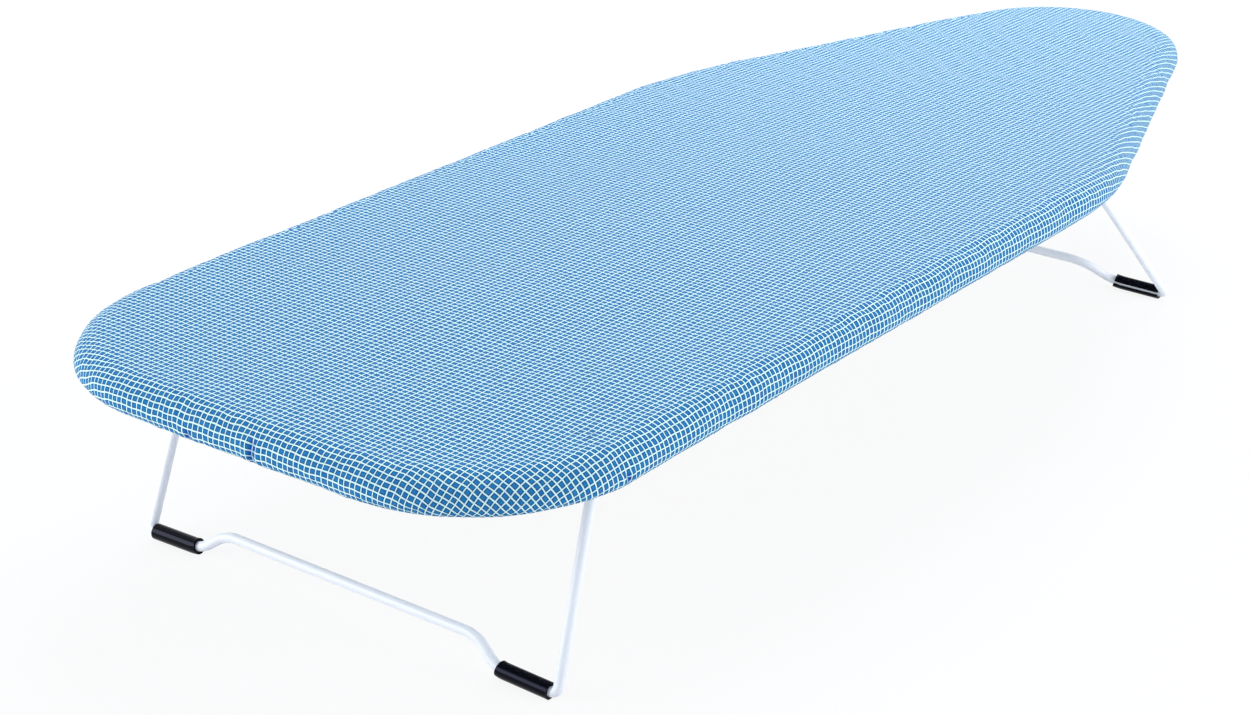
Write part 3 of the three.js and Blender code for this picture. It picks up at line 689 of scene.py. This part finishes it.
def thicken(piece, name, thickness):
    """Gives a sheet its thickness, inwards from its outer face."""
    solid = piece.modifiers.new(name, "SOLIDIFY")
    solid.thickness = thickness
    solid.offset = -1


thicken(cover, "cloth_thickness", CLOTH_THICKNESS)

# %% [markdown]
# ## The elastic
# A round braided elastic runs in the hem and draws the cover tight under the rim. It is braided cotton over rubber,
# with slanting ribs about 1.5 mm apart. The ribs are two sets of slanting lines, drawn from a UV map of the length
# along the cord and the turn round it.

# %% Braided elastic
RIB, SLANT = 1.5 * MM, 3 * MM
braid_elastic, tree, shader = start_finish("braided_cotton_elastic")
cord_xy = add_node(tree, "SeparateXYZ", {0: add_node(tree, "UVMap", uv_map="length")})
ribs = []
for lean in (SLANT, -SLANT):
    slant = add_node(tree, "Math", {0: cord_xy.outputs[1], 1: lean, 2: cord_xy.outputs[0]},
                     operation="MULTIPLY_ADD")
    ribs.append(add_node(tree, "Math", {0: slant, 1: RIB / 2}, operation="PINGPONG"))
plait = add_node(tree, "Math", {0: ribs[0], 1: ribs[1]}, operation="MAXIMUM")
braid_groove_shade = add_node(tree, "MapRange", {0: plait, 2: RIB / 2, 3: 0.0, 4: 1.0})
strands = add_node(tree, "Mix", {0: braid_groove_shade, 6: linear("#c9c6bd"), 7: linear("#f1efe9")}, data_type="RGBA")
# Undyed cotton braid is matte and off-white, and a painted shade darkens the grooves between its strands.
set_inputs(shader, {
    "Base Color": strands.outputs[2], "Roughness": 0.9,
    "Normal": add_node(tree, "Bump", {"Height": plait, "Strength": 0.6, "Distance": 1.0}),
})
print("Elastic has", len(tree.nodes), "nodes")

# %% Hem cord
CORD_SIDES = 10
cord_stations = edge_stations(curl_inset, curl_height)
cord_points, cord_faces = swept(cord_stations, circle(ELASTIC_RADIUS, CORD_SIDES), closed=True)
elastic = make_piece("hem_cord", cord_points, cord_faces, braid_elastic, "board", "hem_elastic", "elastic")
cord_turn = np.tile(np.arange(CORD_SIDES) / CORD_SIDES, len(edge))
add_uv_map(elastic, "length", np.column_stack([np.repeat(edge_length, CORD_SIDES) * MM, cord_turn]))
edge, edge_facing = plain_edge

# %% [markdown]
# ## The pad
# Under the cover lies an underlay of needled felt, cut to the board and rounded over at its edge. It hardly shows,
# except through the vents from below, but it is what makes the top soft. Its fibres lie in all directions, about
# half a millimetre apart.

# %% Needled felt
TUFT, FIBRE, NAP = (v * MM for v in (6, 0.6, 0.5))
felt, tree, shader = start_finish("needled_cotton_felt")
place = add_node(tree, "TexCoord").outputs["Object"]
tufts = add_node(tree, "TexNoise", {"Vector": place, "Scale": 1 / TUFT, "Detail": 4.0})
fibres = add_node(tree, "TexNoise", {"Vector": place, "Scale": 1 / FIBRE, "Detail": 3.0, "Distortion": 2.5})
wool = add_node(tree, "Mix", {0: tufts, 6: linear("#c9c3b4"), 7: linear("#e6e1d5")}, data_type="RGBA")
# Felt swallows light between its fibres: fully matte, a pale grey-beige, with a soft bloom at its edge.
set_inputs(shader, {
    "Base Color": wool.outputs[2], "Roughness": 1.0, "Sheen Weight": 0.3,
    "Normal": add_node(tree, "Bump", {"Height": fibres, "Strength": 0.7, "Distance": NAP}),
})
print("Felt has", len(tree.nodes), "nodes")

# %% Underlay pad
PAD_SPACING, PAD_STEPS = 12.0, 8
pad_round = edge_round - COVER_THICKNESS - GAP
lowest = math.degrees(math.asin((pad_bottom - rim_height) / pad_round))
pad_arc = section_arc(edge_round, rim_height, pad_round, 90, lowest, PAD_STEPS)[:, :2]
pad_section = [*pad_arc, (edge_round, pad_bottom)]
rings = [np.column_stack([edge - edge_facing * inset, np.full(len(edge), height)]) for inset, height in pad_section]
cap, cap_faces = fill_outline(edge_round, PAD_SPACING)
inner_cap = cap[len(edge):]
top_first = len(edge) * len(rings)
low_first = top_first + len(inner_cap)
top_index = [*range(len(edge)), *range(top_first, low_first)]
low_index = [*range(top_first - len(edge), top_first), *range(low_first, low_first + len(inner_cap))]
pad_faces = strip_faces(len(rings), len(edge))
pad_faces += [tuple(top_index[v] for v in face) for face in cap_faces]
pad_faces += [tuple(low_index[v] for v in face[::-1]) for face in cap_faces]
pad_points = np.vstack([*rings, np.column_stack([inner_cap, pad_top + top_lay(*inner_cap.T)]),
                        np.column_stack([inner_cap, np.full(len(inner_cap), pad_bottom)])])
pad = make_piece("underlay_pad", pad_points, pad_faces, felt, "board", "pad", "pad_felt")

# %% [markdown]
# ## Painted steel
# All the steel that shows is painted. The top sheet, rim tube and cross rails have stoved enamel, and the legs a
# polyester powder coat that melts on in the oven. Both are smooth films with a faint orange peel, whose waves are 1
# to 2 mm long, and both are a little greyer where they were handled. One function makes them, each with its own
# sizes.

# %% Enamel and powder coat
FILM = 0.2 * MM


def paint_film(name, colours, patch, wear, gloss, peel, peel_strength):
    """A paint film. The patch and the peel are lengths in millimetres, and gloss goes from shiny to dull."""
    finish, tree, shader = start_finish(name)
    place = add_node(tree, "TexCoord").outputs["Object"]
    patches = add_node(tree, "TexNoise", {"Vector": place, "Scale": 1 / (patch * MM), "Detail": 5.0})
    worn = add_node(tree, "MapRange", {0: patches, 1: wear[0], 2: wear[1]})
    paint = add_node(tree, "Mix", {0: worn, 6: linear(colours[0]), 7: linear(colours[1])}, data_type="RGBA")
    waviness = add_node(tree, "TexNoise", {"Vector": place, "Scale": 1 / (peel * MM), "Detail": 1.0})
    # A film of paint keeps its colour from all sides and has a soft, slightly broken highlight.
    set_inputs(shader, {
        "Base Color": paint.outputs[2],
        "Roughness": add_node(tree, "MapRange", {0: patches, 3: gloss[0], 4: gloss[1]}),
        "Normal": add_node(tree, "Bump", {"Height": waviness, "Strength": peel_strength, "Distance": FILM}),
    })
    print(name, len(tree.nodes), "nodes")
    return finish


ENAMEL = {"patch": 45, "wear": (0.45, 0.75), "gloss": (0.28, 0.5), "peel": 1.6, "peel_strength": 0.12}
white_enamel = paint_film("stoved_enamel_white", ("#e9ebee", "#d6d9dd"), **ENAMEL)
grey_enamel = paint_film("stoved_enamel_grey", ("#c5cacf", "#b9bfc5"), **ENAMEL)
powder_coat = paint_film("white_polyester_powder_coat", ("#f0f4fa", "#f8fbff"), patch=30, wear=(0, 1),
                         gloss=(0.3, 0.45), peel=1.5, peel_strength=0.15)

# %% [markdown]
# ## The top sheet
# The top sheet has rows of steam vents. Each is pierced and its edge is turned down a little, which stiffens the
# sheet and keeps the pad from catching. The sheet could be cut with booleans. Here it is filled with triangles
# round the vents, which gives cleaner faces, and then thickened.

# %% Places of the vents
VENT_RADIUS, VENT_PITCH, VENT_MARGIN, VENT_SIDES, VENT_LAND = 4.5, 48.0, 26.0, 20, 2.2
sheet_inset = edge_round - math.sqrt(pad_round ** 2 - (sheet_top - rim_height) ** 2)
row_pitch = VENT_PITCH * math.sqrt(3) / 2
limit = edge - edge_facing * (sheet_inset + VENT_MARGIN)
most_rows, most_columns = math.floor(HALF_WIDTH / row_pitch), math.ceil(HALF_LENGTH / VENT_PITCH)
vents = []
for row in range(-most_rows, most_rows + 1):
    for column in range(-most_columns, most_columns + 1):
        centre = np.array([column * VENT_PITCH + (row % 2) * VENT_PITCH / 2, row * row_pitch])
        if (((centre - limit) * edge_facing).sum(1) < 0).all():
            vents.append(centre)
print(len(vents), "vents")

# %% Vented sheet
SHEET_SPACING, PIERCED_SHARE = 24.0, 0.98
LIP = [(1.6, 0.0), (1.0, 0.0), (0.45, 0.15), (0.1, 0.5)]  # out from the vent and down from the sheet
land = VENT_RADIUS + VENT_LAND
holes = [centre + circle(land, VENT_SIDES) for centre in vents]
flat_points, flat_faces = fill_outline(sheet_inset, SHEET_SPACING, holes)
middles = np.array([flat_points[list(face)].mean(0) for face in flat_faces])
in_vent = np.array([np.linalg.norm(middles - centre, axis=1) < PIERCED_SHARE * land for centre in vents]).any(0)
sheet_points = [np.column_stack([flat_points, np.full(len(flat_points), sheet_top)])]
sheet_faces = [face for face, skip in zip(flat_faces, in_vent) if not skip]
first = len(flat_points)
for index, centre in enumerate(vents):
    starts = [len(edge) + index * VENT_SIDES, *(first + k * VENT_SIDES for k in range(len(LIP)))]
    sheet_points += [np.column_stack([centre + circle(VENT_RADIUS + out, VENT_SIDES),
                                      np.full(VENT_SIDES, sheet_top - drop)]) for out, drop in LIP]
    for outer, inner in zip(starts, starts[1:]):
        for k in range(VENT_SIDES):
            other = (k + 1) % VENT_SIDES
            sheet_faces.append((outer + k, outer + other, inner + other, inner + k))
    first += len(LIP) * VENT_SIDES
vented_sheet = make_piece("vented_sheet", np.vstack(sheet_points), sheet_faces, grey_enamel, "board", "vented_top",
                          "top_steel")
thicken(vented_sheet, "gauge", SHEET_GAUGE * MM)

# %% [markdown]
# ## The rim
# The rim is one round tube, bent to the outline, which the sheet is welded to. It is a circle carried round the
# edge.

# %% Rim tube
RIM_SIDES = 20
rim_points, rim_faces = swept(edge_stations(lower_round, rim_height), circle(RIM_RADIUS, RIM_SIDES), closed=True)
make_piece("bent_rim_tube", rim_points, rim_faces, white_enamel, "board", "rim_tube", "frame_enamel")

# %% [markdown]
# ## Rails, saddles and rivets
# The rails and saddles are pressed from strip, and their solids already have the right shape. Pressed steel never
# has a knife edge, so each is copied, its flat faces are joined up and its edges get a small round.

# %% Pressed strips
RAIL_ROUND, SADDLE_ROUND, SAME_PLACE = 0.3, 0.25, 0.001 * MM
SHARP, NEARLY_FLAT = math.radians(40), math.radians(1)


def pressed_strip(node, finish, slot, edge_radius):
    """A copy of a solid with rounded edges, in its place."""
    shape = bmesh.new()
    shape.from_mesh(nodes[node].data)
    bmesh.ops.remove_doubles(shape, verts=shape.verts, dist=SAME_PLACE)
    bmesh.ops.dissolve_limit(shape, angle_limit=NEARLY_FLAT, verts=shape.verts, edges=shape.edges)
    sharp = [e for e in shape.edges if len(e.link_faces) == 2 and e.calc_face_angle() > SHARP]
    bmesh.ops.bevel(shape, geom=sharp, offset=edge_radius * MM, segments=2, affect="EDGES", profile=0.5,
                    clamp_overlap=True)
    mesh = bpy.data.meshes.new(node + "_pressed")
    shape.to_mesh(mesh)
    shape.free()
    piece = dress(node + "_pressed", mesh, finish, "board", node, slot)
    piece.modifiers.new("even_shading", "WEIGHTED_NORMAL")


for rail in ("tail_rail", "middle_rail", "nose_rail"):
    pressed_strip(rail, white_enamel, "frame_enamel", RAIL_ROUND)

# %% [markdown]
# Saddles and rivets are zinc plated steel. The bath leaves a fine, uneven crystal, which is too fine to show and is
# drawn at 1.2 mm, and a duller bloom in patches a few millimetres wide. As for any metal here, the shader's IOR
# stays as it is.

# %% Bright zinc plate
CRYSTAL, BLOOM = 1.2 * MM, 5 * MM
zinc_plate, tree, shader = start_finish("bright_zinc_plate")
place = add_node(tree, "TexCoord").outputs["Object"]
crystal = add_node(tree, "TexVoronoi", {"Vector": place, "Scale": 1 / CRYSTAL})
bloom = add_node(tree, "TexNoise", {"Vector": place, "Scale": 1 / BLOOM, "Detail": 4.0})
zinc = add_node(tree, "Mix", {0: bloom, 6: linear("#a3abb3"), 7: linear("#ced3d6")}, data_type="RGBA")
# Zinc is a bluish mirror, broken up by its crystal.
set_inputs(shader, {
    "Base Color": zinc.outputs[2], "Metallic": 1.0,
    "Roughness": add_node(tree, "MapRange", {0: crystal.outputs["Distance"], 2: 0.8, 3: 0.24, 4: 0.42}),
})
for leg in ("tail", "nose"):
    for side_name in ("left", "right"):
        pressed_strip(f"{leg}_saddle_{side_name}", zinc_plate, "zinc_steel", SADDLE_ROUND)

# %% [markdown]
# Two rivets hold each saddle to its rail. A rivet has a domed head below and a flat, upset end above, so it is one
# profile turned about its axis.

# %% Rivets
SHANK_RADIUS, HEAD_RADIUS, HEAD_HEIGHT, UPSET_RADIUS, UPSET_HEIGHT, RIVET_SIDES = 1.5, 3.2, 1.4, 2.6, 0.9, 20
UPSET_BEVEL, UPSET_DRAFT = 0.25, 0.35
DOME = np.linspace(0.15, 1.5, 6)


def turned(profile, x, y, sides):
    """A profile of radius and height turned about an upright axis, with a flat face at each end."""
    rows = [np.column_stack([circle(radius, sides) + (x, y), np.full(sides, height)]) for radius, height in profile]
    last = (len(rows) - 1) * sides
    ends = [tuple(range(sides)), tuple(range(last + sides - 1, last - 1, -1))]
    return np.vstack(rows), strip_faces(len(rows), sides) + ends


for node in sorted(name for name in nodes if "_rivet_" in name):
    low, high = (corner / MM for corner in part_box(node))
    x, y = (low.x + high.x) / 2, (low.y + high.y) / 2
    head = [(HEAD_RADIUS * math.sin(a), low.z + HEAD_HEIGHT * (1 - math.cos(a))) for a in DOME]
    shank = [(SHANK_RADIUS, low.z + HEAD_HEIGHT), (SHANK_RADIUS, high.z - UPSET_HEIGHT)]
    upset = [(UPSET_RADIUS, high.z - UPSET_HEIGHT), (UPSET_RADIUS, high.z - UPSET_BEVEL),
             (UPSET_RADIUS - UPSET_DRAFT, high.z)]
    rivet_points, rivet_faces = turned([*head, *shank, *upset][::-1], x, y, RIVET_SIDES)
    rivet = make_piece(node + "_set", rivet_points, rivet_faces, zinc_plate, "board", node, "zinc_steel")
    rivet.data.set_sharp_from_angle(angle=SHARP)

# %% [markdown]
# ## The legs
# Each leg is one length of 5 mm steel wire, bent flat in one plane: two uprights, two low foot runs and a raised
# bar between them. Its ends turn in to make the pivots. First comes a line with round bends, with many short steps
# in each, so that light runs smoothly round the wire.

# %% Lines with bends
BEND_STEP = math.radians(5)


def direction(start, end):
    return (end - start) / np.linalg.norm(end - start)


def bent_line(corners, radii):
    """Points and directions along straight runs with a round bend at each inner corner."""
    points, along = [corners[0]], [direction(corners[0], corners[1])]
    for before, corner, after, radius in zip(corners, corners[1:], corners[2:], radii):
        into, out = direction(before, corner), direction(corner, after)
        bend = math.atan2(into[0] * out[1] - into[1] * out[0], into @ out)
        start = corner - into * radius * math.tan(abs(bend) / 2)
        centre = start + np.array([-into[1], into[0]]) * math.copysign(radius, bend)
        for angle in np.linspace(0, bend, math.ceil(abs(bend) / BEND_STEP) + 1):
            spin = np.array([[math.cos(angle), -math.sin(angle)], [math.sin(angle), math.cos(angle)]])
            points.append(centre + spin @ (start - centre))
            along.append(spin @ into)
    points.append(corners[-1])
    along.append(direction(corners[-2], corners[-1]))
    return np.array(points), np.array(along)


print("A square bend has", math.ceil(math.pi / 2 / BEND_STEP) + 1, "points")

# %% [markdown]
# Both legs have the same feet and hinges. They differ in where they hinge, how far they splay and how high the bar
# between the feet is raised. Each is drawn flat, as across and down from its hinge, and then swung out about it.

# %% Centre line of a leg
HINGE_HEIGHT, FOOT_HEIGHT = 107.2, 3.6
LEGS = {
    "tail": {"hinge": -296.0, "outward": -1, "splay": math.radians(20.3), "bar_rise": 11.2},
    "nose": {"hinge": 135.0, "outward": 1, "splay": math.radians(44.3), "bar_rise": 18.5},
}
PIVOT_END, HINGE_SPAN, FOOT_SPAN, FOOT_RUN, FOOT_RISE, BAR_SETBACK = 96.3, 121.6, 127.3, 35.0, 0.8, 13.7
PIVOT_BEND, HEEL_BEND, TOE_BEND, BAR_BEND = 8.0, 3.4, 18.0, 20.0


def leg_line(leg):
    """The wire's centre line as across and down from the hinge, left end first."""
    length = (HINGE_HEIGHT - FOOT_HEIGHT) / math.cos(leg["splay"])
    toe = FOOT_SPAN - FOOT_RUN
    left = [(PIVOT_END, 0), (HINGE_SPAN, 0), (FOOT_SPAN, -length), (toe, FOOT_RISE - length),
            (toe - BAR_SETBACK, leg["bar_rise"] - length)]
    line = np.array(left + [(-a, d) for a, d in left[::-1]])
    radii = [PIVOT_BEND, HEEL_BEND, TOE_BEND, BAR_BEND]
    return bent_line(line, radii + radii[::-1])


def leg_stations(leg, points, along):
    """Stations in the board's frame: the leg's plane swings about the hinge by its splay."""
    swing = leg["outward"] * leg["splay"]
    down = np.array([-math.sin(swing), 0.0, math.cos(swing)])
    across_board = np.array([0.0, 1.0, 0.0])
    out_of_plane = np.cross(across_board, down)
    hinge = np.array([leg["hinge"], 0.0, HINGE_HEIGHT])
    return [(hinge + across_board * a + down * d, out_of_plane,
             np.cross(across_board * u + down * v, out_of_plane)) for (a, d), (u, v) in zip(points, along)]


print("Wire of the tail leg:", len(leg_line(LEGS["tail"])[0]), "stations")

# %% [markdown]
# The wire is a round section carried along its line, with the powder coat from above. Cut wire is chamfered, so
# each pivot end has one more, smaller station.

# %% Wires
WIRE_RADIUS, WIRE_SIDES, CHAMFER, CHAMFER_SHARE = 2.5, 24, 0.5, 0.8
for name, leg in LEGS.items():
    stations = leg_stations(leg, *leg_line(leg))
    to_left = np.array([0.0, CHAMFER, 0.0])
    (left, a, b), (right, c, d) = stations[0], stations[-1]
    stations.insert(0, (left - to_left, a * CHAMFER_SHARE, b * CHAMFER_SHARE))
    stations.append((right + to_left, c * CHAMFER_SHARE, d * CHAMFER_SHARE))
    wire_points, wire_faces = swept(stations, circle(WIRE_RADIUS, WIRE_SIDES))
    make_piece(f"{name}_leg_bent_wire", wire_points, wire_faces, powder_coat, f"{name}_leg", f"{name}_leg_wire",
               "wire_coat")

# %% [markdown]
# ## The foot sleeves
# A sleeve of extruded PVC is slit along its length and pushed over each foot run, so that the wire neither slips
# nor scratches the table. PVC straight from the die has very fine lines along it, about 0.1 mm apart, which are too
# fine to show and are drawn 0.7 mm apart.

# %% Extruded PVC
DIE_LINE, DIE_RELIEF, SCUFF = (v * MM for v in (0.7, 0.1, 4))
DRAWN_OUT = (1.0, 0.06, 1.0)
pvc, tree, shader = start_finish("extruded_black_pvc")
place = add_node(tree, "TexCoord").outputs["Object"]
drawn = add_node(tree, "Mapping", {"Vector": place, "Scale": DRAWN_OUT})
die_lines = add_node(tree, "TexNoise", {"Vector": drawn, "Scale": 1 / DIE_LINE, "Detail": 2.0})
scuffs = add_node(tree, "TexNoise", {"Vector": place, "Scale": 1 / SCUFF, "Detail": 4.0})
black = add_node(tree, "Mix", {0: scuffs, 6: linear("#030306"), 7: linear("#08080d")}, data_type="RGBA")
# Black PVC shows little colour of its own, only a narrow bluish highlight along it.
set_inputs(shader, {
    "Base Color": black.outputs[2],
    "Roughness": add_node(tree, "MapRange", {0: scuffs, 3: 0.1, 4: 0.17}),
    "Normal": add_node(tree, "Bump", {"Height": die_lines, "Strength": 0.04, "Distance": DIE_RELIEF}),
    "IOR": 1.53, "Specular IOR Level": 0.1, "Specular Tint": linear("#c3ccff"),
})
print("PVC has", len(tree.nodes), "nodes")

# %% [markdown]
# The slit faces the middle of the board, where a thin line of the white wire shows through it. The section is a
# ring with rounded lips, carried along the part of the wire's line that the sleeve covers. Its underside is worn
# flat where it stands on the table.

# %% Section of a sleeve
SLEEVE_BORE, SLEEVE_RADIUS, SLIT, RING_POINTS, LIP_POINTS, LIP_TRIM = 2.8, 4.0, math.radians(44), 33, 4, 0.5


def slit_section(middle):
    """A ring with a slit at the given angle and rounded lips."""
    outer = np.linspace(middle + SLIT / 2, middle - SLIT / 2 + 2 * math.pi, RING_POINTS)
    wall = (SLEEVE_RADIUS - SLEEVE_BORE) / 2

    def lip(angle, sense):
        out, on = facing(angle), facing(angle + math.pi / 2)
        return [(SLEEVE_BORE + wall) * out + sense * wall * (out * math.cos(t) + on * math.sin(t))
                for t in np.linspace(LIP_TRIM, math.pi - LIP_TRIM, LIP_POINTS)]

    ring = [SLEEVE_RADIUS * facing(a) for a in outer] + lip(outer[-1], 1)
    ring += [SLEEVE_BORE * facing(a) for a in outer[::-1]] + lip(outer[0], -1)
    return np.array(ring)


print("Section of a sleeve has", len(slit_section(0)), "points")

# %% Sleeves
SLEEVE_LENGTH, STRAIGHT_ACROSS, SLEEVE_SHARP = 29.0, -0.999, math.radians(50)
for name, leg in LEGS.items():
    line, along = leg_line(leg)
    begin = next(i for i, (p, d) in enumerate(zip(line, along)) if p[0] > 0 and d[0] < STRAIGHT_ACROSS)
    inner = line[begin][0] - SLEEVE_LENGTH
    covered = [i for i in range(begin, len(line)) if line[i][0] > inner]
    last, following = covered[-1], covered[-1] + 1
    share = (line[last][0] - inner) / (line[last][0] - line[following][0])
    sleeve_line, sleeve_along = (np.vstack([v[covered], v[last] + (v[following] - v[last]) * share])
                                 for v in (line, along))
    to_middle = math.pi - leg["splay"] if leg["outward"] > 0 else leg["splay"]
    for side_name, sign in (("left", 1), ("right", -1)):
        stations = leg_stations(leg, sleeve_line * (sign, 1), sleeve_along * (1, sign))
        sleeve_points, sleeve_faces = swept(stations[::sign], slit_section(to_middle))
        sleeve_points[:, 2] = np.maximum(sleeve_points[:, 2], 0.0)
        sleeve = make_piece(f"{name}_foot_sleeve_{side_name}", sleeve_points, sleeve_faces, pvc, f"{name}_leg",
                            f"{name}_foot_{side_name}", "foot_plastic")
        sleeve.data.set_sharp_from_angle(angle=SLEEVE_SHARP)

# %% Finish
low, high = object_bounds()
print("Board in mm:", [round(v / MM, 1) for v in high - low])
